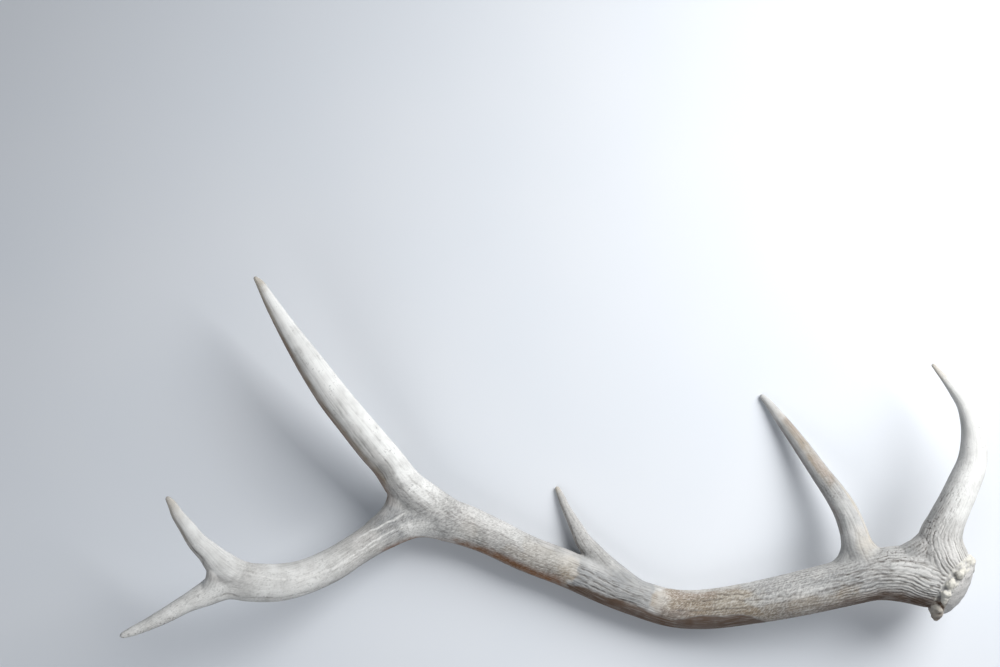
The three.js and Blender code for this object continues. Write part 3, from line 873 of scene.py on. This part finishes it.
# each point belongs to the beam's own stretch, or to a tine's piece past its cut
owner = np.digitize(places[0]["run"], cutsAlong["beam"])
pieceNames = list(beamPieces)
for index, name in enumerate(branchNames[1:], start=1):
    past = places[index]["run"] > cutsAlong[name]
    owner[(nearest == index) & ~past] = tinePieces[name][1]
    owner[(nearest == index) & past] = len(pieceNames)
    pieceNames.append(tinePieces[name][0])
faceOwner = np.median(owner[quads], axis=1).astype(int)
pieces = {}
for index, name in enumerate(pieceNames):
    pieces[name] = makePiece(name, faceOwner == index)
    print(name, len(pieces[name].data.polygons), "faces")
print("pieces made", spent(), "s")


def tone(hexColour):
    values = [int(hexColour[i:i + 2], 16) / 255 for i in (0, 2, 4)]
    return [v / 12.92 if v <= 0.04045 else ((v + 0.055) / 1.055) ** 2.4 for v in values] + [1.0]


def addNode(tree, kind, inputs=None, **settings):
    # an input is a plain value or another node's output; nodes stand in columns in the order they are made
    column, row = divmod(len(tree.nodes), 5)
    node = tree.nodes.new(kind)
    node.location = (column * 220, row * -240)
    for key, value in settings.items():
        setattr(node, key, value)
    for key, value in (inputs or {}).items():
        if isinstance(value, bpy.types.NodeSocket):
            tree.links.new(value, node.inputs[key])
        else:
            node.inputs[key].default_value = value
    return node


def newGroup(name, inputs):
    # inputs by name: a number, or the kind of socket
    tree = bpy.data.node_groups.new(name, "ShaderNodeTree")
    for label, value in inputs.items():
        kind = value if isinstance(value, str) else "Float"
        socket = tree.interface.new_socket(name=label, in_out="INPUT", socket_type="NodeSocket" + kind)
        if kind == "Float":
            socket.default_value = value
    return tree, addNode(tree, "NodeGroupInput").outputs


def endGroup(tree, results):
    for label, value in results.items():
        kind = "Color" if label == "Color" else "Float"
        tree.interface.new_socket(name=label, in_out="OUTPUT", socket_type="NodeSocket" + kind)
    addNode(tree, "NodeGroupOutput", results)
    return tree


def mixColour(tree, factor, first, second):
    return addNode(tree, "ShaderNodeMix", {0: factor, 6: first, 7: second}, data_type="RGBA").outputs[2]


def multiply(tree, *values):
    # two values multiplied; a third is added to them
    operation = "MULTIPLY" if len(values) == 2 else "MULTIPLY_ADD"
    return addNode(tree, "ShaderNodeMath", dict(enumerate(values)), operation=operation).outputs[0]


def remap(tree, value, low, high, outLow=0.0, outHigh=1.0):
    limits = {0: value, 1: low, 2: high, 3: outLow, 4: outHigh}
    return addNode(tree, "ShaderNodeMapRange", limits, interpolation_type="SMOOTHSTEP").outputs[0]


def noiseNode(tree, vector, scale, detail=3.0, roughness=0.55):
    inputs = {"Vector": vector, "Scale": scale, "Detail": detail, "Roughness": roughness}
    return addNode(tree, "ShaderNodeTexNoise", inputs).outputs[0]


# Mottling: soft blotches and small dark specks, and the fine lines and slanting strokes of the grain.
def makeMottleGroup():
    tree, inside = newGroup("boneMottle", {
        "Position": "Vector", "Grain Position": "Vector", "Speck Amount": 0.5, "Hold": 1.0})
    position = inside["Position"]
    specks = remap(tree, noiseNode(tree, position, 360, 2.0), 0.58, 0.7)
    patchy = remap(tree, noiseNode(tree, position, 60, 2.0), 0.5, 0.66)
    specks = multiply(tree, specks, patchy)
    squeeze = addNode(tree, "ShaderNodeMapping", {"Vector": inside["Grain Position"], "Scale": (1, 1, 0.07)})
    lines = remap(tree, noiseNode(tree, squeeze.outputs[0], 620, 3.0), 0.3, 0.7)
    held = addNode(tree, "ShaderNodeMix", {0: inside["Hold"], 2: 0.5, 3: lines}, data_type="FLOAT")
    lean = addNode(tree, "ShaderNodeMapping", vector_type="TEXTURE", inputs={
        "Vector": inside["Grain Position"], "Rotation": (0, math.radians(38), 0), "Scale": (1, 1, 2.6)})
    return endGroup(tree, {
        "Blotch": remap(tree, noiseNode(tree, position, 38), 0.35, 0.68),
        "Speck": multiply(tree, specks, inside["Speck Amount"]),
        "Fine": noiseNode(tree, position, 950, 4.0, 0.65),
        "Line": held.outputs[0],
        "Stroke": remap(tree, noiseNode(tree, lean.outputs[0], 560, 2.0), 0.3, 0.7),
    })


# Tones: the stains, the sun-bleached places, the dirt and painted shade in the grooves and hollows, and the
# painted highlight on the crests, laid one over the other.
wearAndLight = {
    "streaks": 0.26, "weave": 0.36, "raised": 0.34, "crest": 0.2, "hill": 0.25, "fibre": 0.16,
    "hollow": 0.75, "pit": 0.7, "rust": 0.6,
    "bleachedDirtAndShade": 0.62, "bleachedStreaks": 0.4, "brownAndShade": 0.25,  # what is left of them there
}


def makeToneGroup():
    maskLabels = [name.capitalize() for names in paintLayers.values() for name in names if name != "hold"]
    amounts = maskLabels + ["Blotch", "Speck", "Line", "Stroke", "Dirt Amount"]
    tree, socket = newGroup("boneTone", {**dict.fromkeys(amounts, 0.0), **dict.fromkeys(boneTones, "Color")})
    colour = mixColour(tree, socket["Blotch"], socket["Dark Bone"], socket["Light Bone"])
    for label in maskLabels[:8]:
        colour = mixColour(tree, socket[label], colour, socket[label + " Tone"])
    # the lengthwise streaks and the weave darken or lighten whatever tone lies there
    grainy = multiply(tree, socket["Line"], 0.4, socket["Streak"])
    dark = multiply(tree, remap(tree, grainy, 0.2, 0.62, wearAndLight["streaks"], 0),
                    remap(tree, socket["Pale"], 0, 1, 1, wearAndLight["bleachedStreaks"]))
    woven = multiply(tree, remap(tree, socket["Stroke"], 0.1, 0.55, wearAndLight["weave"], 0), socket["Weave"])
    # painted highlight: crests and high places are painted paler, but less so under rust and under umber and
    # painted shade
    raised = multiply(tree, remap(tree, socket["Stroke"], 0.5, 0.95, 0, wearAndLight["raised"]), socket["Weave"])
    lifted = multiply(tree, socket["Crest"], wearAndLight["crest"], raised)
    lifted = multiply(tree, socket["Hill"], wearAndLight["hill"], lifted)
    brownAndShade = multiply(tree, socket["Rust"], wearAndLight["rust"], socket["Umber"])
    lifted = multiply(tree, lifted, remap(tree, brownAndShade, 0, 1, 1, wearAndLight["brownAndShade"]))
    lifted = multiply(tree, 1.0, lifted, remap(tree, socket["Line"], 0.55, 1, 0, wearAndLight["fibre"]))
    # dirt and painted shade lie in the grooves, the low places and the gaps between the pearls, less of them
    # where the sun has bleached the bone
    dirtAndShade = multiply(tree, socket["Hollow"], wearAndLight["hollow"], socket["Groove"])
    dirtAndShade = multiply(tree, dirtAndShade, socket["Dirt Amount"])
    dirtAndShade = multiply(tree, dirtAndShade, remap(tree, socket["Pale"], 0, 1, 1, wearAndLight["bleachedDirtAndShade"]))
    pitted = multiply(tree, socket["Pit"], wearAndLight["pit"])
    for amount, label in ((dark, "Dirt_and_shade"), (woven, "Dirt_and_shade"), (lifted, "Crest"), (dirtAndShade, "Dirt_and_shade"),
                          (socket["Speck"], "Speck"), (pitted, "Dirt_and_shade")):
        colour = mixColour(tree, amount, colour, socket[label + " Tone"])
    return endGroup(tree, {"Color": colour})


def newMaterial(name):
    material = bpy.data.materials.new(name)
    material.use_nodes = True
    material.node_tree.nodes.clear()
    return material, material.node_tree


def endMaterial(tree, shaderInputs):
    shader = addNode(tree, "ShaderNodeBsdfPrincipled", shaderInputs)
    addNode(tree, "ShaderNodeOutputMaterial", {0: shader.outputs[0]})


def boneMaterial(name, settings):
    material, tree = newMaterial(name)
    position = addNode(tree, "ShaderNodeTexCoord").outputs["Object"]
    grainPosition = addNode(tree, "ShaderNodeAttribute", attribute_name="grainAt").outputs["Vector"]
    read = {}
    for layer, names in paintLayers.items():
        reader = addNode(tree, "ShaderNodeAttribute", attribute_name=layer)
        split = addNode(tree, "ShaderNodeSeparateColor", {0: reader.outputs["Color"]})
        read.update(zip(map(str.capitalize, names), list(split.outputs) + [reader.outputs["Alpha"]]))
    mottle = addNode(tree, "ShaderNodeGroup", node_tree=mottleGroup, inputs={
        "Position": position, "Grain Position": grainPosition, "Speck Amount": settings["specks"],
        "Hold": read.pop("Hold")}).outputs
    toneInputs = {label: tone(colour) for label, colour in boneTones.items()}
    toneInputs.update(read, **{label: mottle[label] for label in ("Blotch", "Speck", "Line", "Stroke")})
    toneInputs["Dirt Amount"] = settings["dirtAndShade"]
    tones = addNode(tree, "ShaderNodeGroup", toneInputs, node_tree=toneGroup)
    rough = remap(tree, read["Tip"], 0, 1, settings["roughness"], settings["polish"])
    height = multiply(tree, mottle["Line"], settings["lines"], mottle["Fine"])
    strokes = multiply(tree, mottle["Stroke"], read["Weave"])
    height = multiply(tree, strokes, settings["strokes"], height)
    bump = addNode(tree, "ShaderNodeBump", {
        "Strength": settings["bump"], "Distance": settings["bumpDepth"], "Height": height})
    endMaterial(tree, {
        "Base Color": tones.outputs["Color"], "Specular IOR Level": settings["specular"],
        "Roughness": multiply(tree, mottle["Fine"], settings["flecks"], rough),
        "Normal": bump.outputs[0]})
    return material


# the umber tone is brown stain and also painted shade on the lower sides of the beam and tines
boneTones = {
    "Dark Bone": "a6a5a2", "Light Bone": "c0bebb", "Tan Tone": "8f816e", "Rust Tone": "7d5532",
    "Slate Tone": "85888a", "Pale Tone": "e6e6e3", "Umber Tone": "5a4535", "Tip Tone": "b7ac98",
    # the dirt tone is dirt and also painted shade in hollows; the crest tone is painted highlight on crests
    "Pearl Tone": "c6c3b9", "Seal Tone": "b9b7b4", "Dirt_and_shade Tone": "473f38", "Crest Tone": "dddbd6",
    "Speck Tone": "6d6c6c",
}
boneFinish = {
    "specks": 0.45, "dirtAndShade": 0.6, "polish": 0.5, "flecks": 0.16, "specular": 0.2,
    "bump": 0.5, "bumpDepth": 0.0003, "lines": 0.6, "strokes": 0.8,
}
mottleGroup = makeMottleGroup()
toneGroup = makeToneGroup()
roughness = {"burrBone": 0.66, "beamBone": 0.67, "tineBone": 0.64, "pointBone": 0.68}
materials = {name: boneMaterial(name, dict(boneFinish, roughness=amount))
             for name, amount in roughness.items()}
finishes = {"beam_base": "burrBone", "brow_tine": "burrBone", "beam_lower": "beamBone",
            "beam_middle": "beamBone", "beam_upper": "beamBone", "beam_point": "pointBone"}  # else tineBone
for name, piece in pieces.items():
    piece.data.materials.append(materials[finishes.get(name, "tineBone")])
    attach(piece, "root")
    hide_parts(name)
print("finishes on", spent(), "s")


studio = {
    "floorTones": ("dce0e5", "dfe2e6"), "floorSize": 9.0, "floorRoughness": 0.9, "floorSpecular": 0.1,
    "window": {"place": (1.2, 1.0, 1.15), "aim": (0.45, 0.1, 0), "size": 1.4, "spread": 95, "power": 18.5},
    "fill": {"place": (-0.9, -1.3, 1.5), "aim": (-0.15, 0, 0.05), "size": 1.5, "spread": 120, "power": 6},
    "roomTone": "dbe6f5", "roomPower": 0.19,
    "cameraAt": (-0.0751, 0.1484, 1.742), "lens": 50.0, "sensor": 36,
}


def makeFloor():
    half = studio["floorSize"] / 2
    mesh = bpy.data.meshes.new("floor")
    mesh.from_pydata([(-half, -half, 0), (half, -half, 0), (half, half, 0), (-half, half, 0)], [],
                     [(0, 1, 2, 3)])
    floor = addObject("floor", mesh)
    material, tree = newMaterial("paleFloor")
    cloud = noiseNode(tree, addNode(tree, "ShaderNodeTexCoord").outputs["Object"], 3.0, 2.0)
    colour = mixColour(tree, remap(tree, cloud, 0.3, 0.7), *map(tone, studio["floorTones"]))
    endMaterial(tree, {"Base Color": colour, "Roughness": studio["floorRoughness"],
                       "Specular IOR Level": studio["floorSpecular"]})
    mesh.materials.append(material)


def softLight(name, settings):
    lamp = bpy.data.lights.new(name, "AREA")
    lamp.shape = "SQUARE"
    lamp.size = settings["size"]
    lamp.spread = math.radians(settings["spread"])
    lamp.energy = settings["power"]
    holder = addObject(name, lamp)
    holder.location = settings["place"]
    holder.rotation_mode = "QUATERNION"
    gaze = Vector(settings["aim"]) - Vector(settings["place"])
    holder.rotation_quaternion = gaze.to_track_quat("-Z", "Y")


makeFloor()
softLight("windowLight", studio["window"])
softLight("fillLight", studio["fill"])
world = bpy.data.worlds.new("softRoom")
world.use_nodes = True
backdrop = world.node_tree.nodes["Background"].inputs
backdrop[0].default_value = tone(studio["roomTone"])
backdrop[1].default_value = studio["roomPower"]
scene = bpy.context.scene
scene.world = world
scene.view_settings.view_transform = "Standard"

camera = addObject("camera", bpy.data.cameras.new("camera"))
camera.data.lens = studio["lens"]
camera.data.sensor_width = studio["sensor"]
camera.location = studio["cameraAt"]
camera.rotation_euler = (0, 0, 0)
scene.camera = camera
print("studio ready", spent(), "s")
